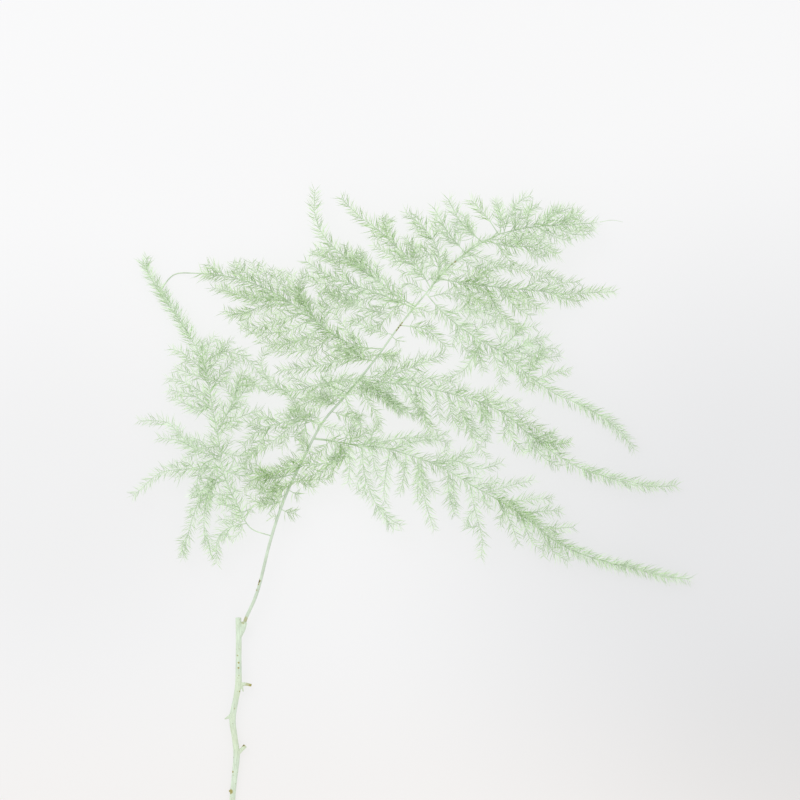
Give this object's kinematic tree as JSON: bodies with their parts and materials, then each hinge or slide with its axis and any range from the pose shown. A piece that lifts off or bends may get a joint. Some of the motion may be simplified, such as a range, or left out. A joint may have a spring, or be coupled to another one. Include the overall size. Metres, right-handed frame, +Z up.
{
  "type": "fern frond",
  "caption": "Cut spray of asparagus fern, dyed pale mint and lying flat: a lacy side frond with fine needles on a length of its pruned old stem.",
  "frame": {"origin": "middle of the spray's box in plan, at the height of the surface that it lies on", "axes": "+Z up from the surface, +Y from the cut end of the stem towards the top of the frond, +X to the right as seen from above"},
  "size_m": [0.2834, 0.3375, 0.0217],
  "materials": {
    "pale_stem": "satin, pale mint with small brown marks",
    "mint_needles": "matt, dyed mint green"
  },
  "bodies": {
    "root": {"main_stem": "pale_stem", "leafy_frond": "mint_needles"}
  },
  "joints": []
}
